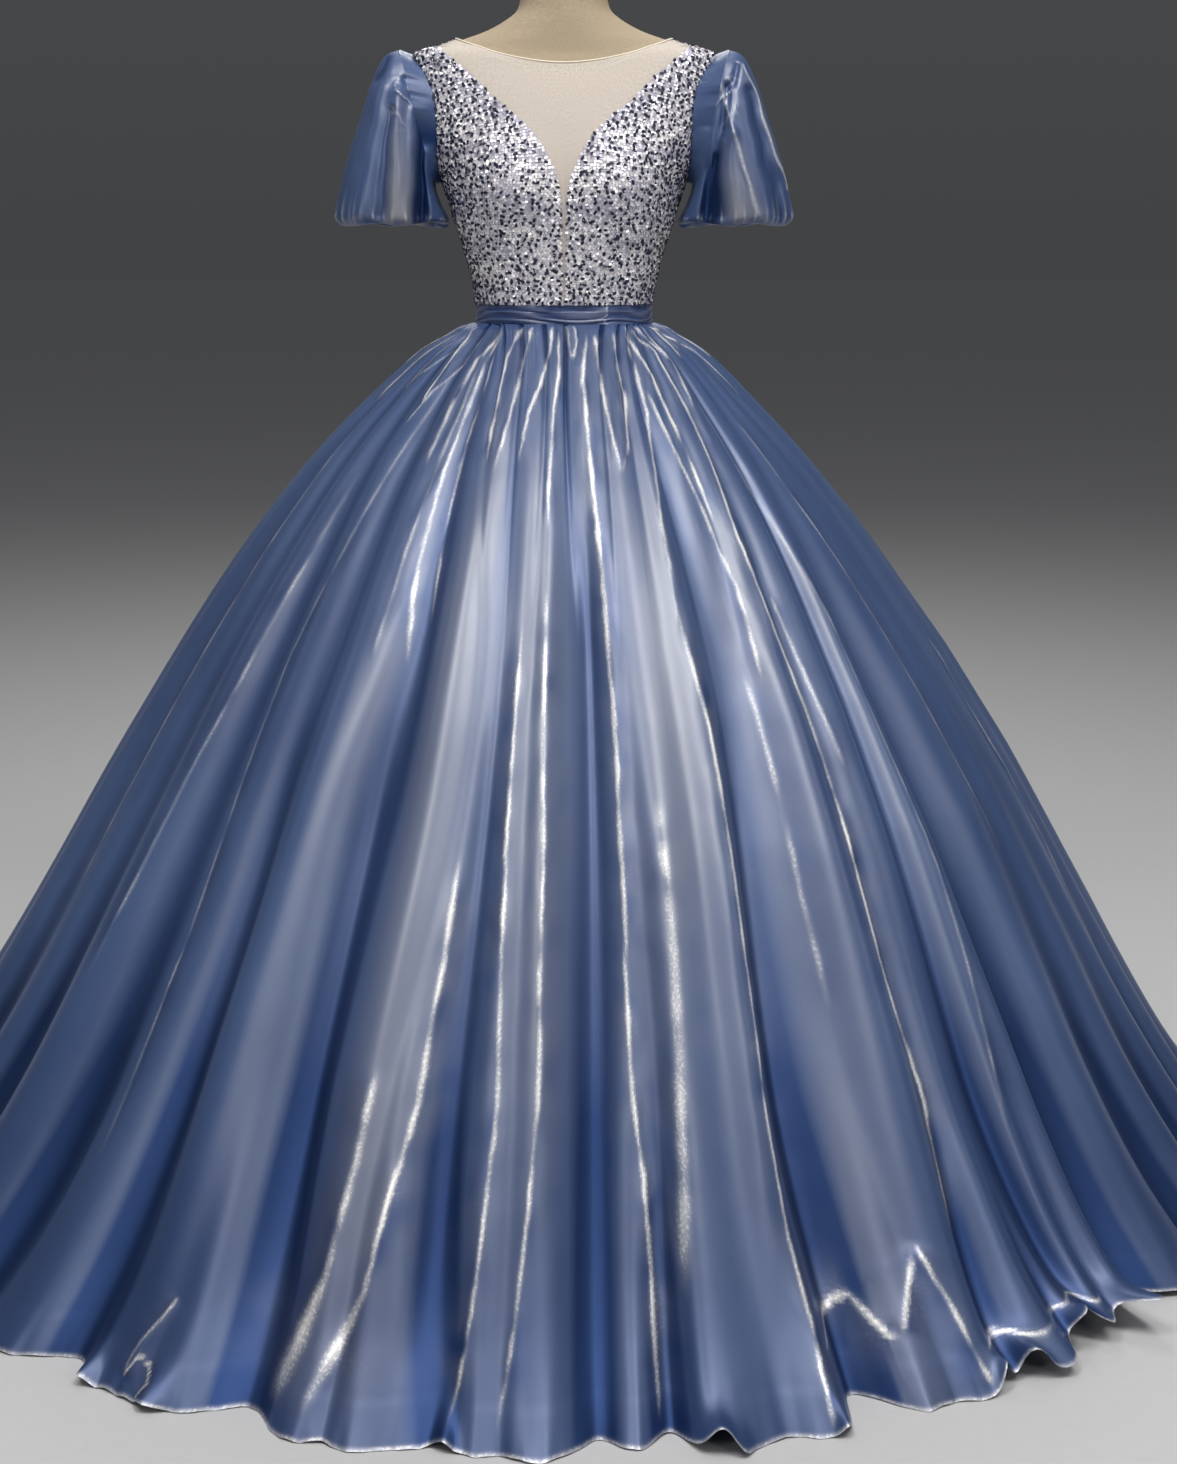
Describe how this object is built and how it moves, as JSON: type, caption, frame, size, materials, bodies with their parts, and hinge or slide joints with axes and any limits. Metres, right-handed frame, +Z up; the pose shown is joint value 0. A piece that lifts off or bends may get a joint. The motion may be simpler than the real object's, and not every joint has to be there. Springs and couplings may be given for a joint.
{
  "type": "ball gown on a dress form",
  "caption": "Floor-length ball gown with a fitted sequinned bodice, sheer neckline, puff sleeves, belt and full gathered skirt, on a limbless dress form with a pole and round base.",
  "frame": {"origin": "on the floor at the middle of the stand's base, under its pole", "axes": "+Z up, -Y the way the gown's front faces, +X towards the wearer's left"},
  "size_m": [1.9331, 2.0765, 1.5683],
  "materials": {
    "organza": "blue organza with a satin sheen",
    "sequins": "cloth covered in silver and navy sequins",
    "net": "sheer skin-tone net",
    "edging": "narrow bound edge",
    "satin": "pleated navy satin",
    "linen": "cream linen over a firm form",
    "steel": "black satin paint"
  },
  "bodies": {
    "root": {"skirt_front": "organza", "skirt_side_front_left": "organza", "skirt_side_front_right": "organza", "skirt_side_back_left": "organza", "skirt_side_back_right": "organza", "skirt_back_left": "organza", "skirt_back_right": "organza", "sleeve_left": "organza", "sleeve_right": "organza", "bodice_front_left": "sequins", "bodice_front_right": "sequins", "bodice_back_left": "sequins", "bodice_back_right": "sequins", "neck_yoke": "net", "neck_binding": "edging", "waist_belt": "satin", "dress_form_torso": "linen", "dress_form_neck_cap": "linen", "stand_pole": "steel", "stand_base": "steel"}
  },
  "joints": []
}
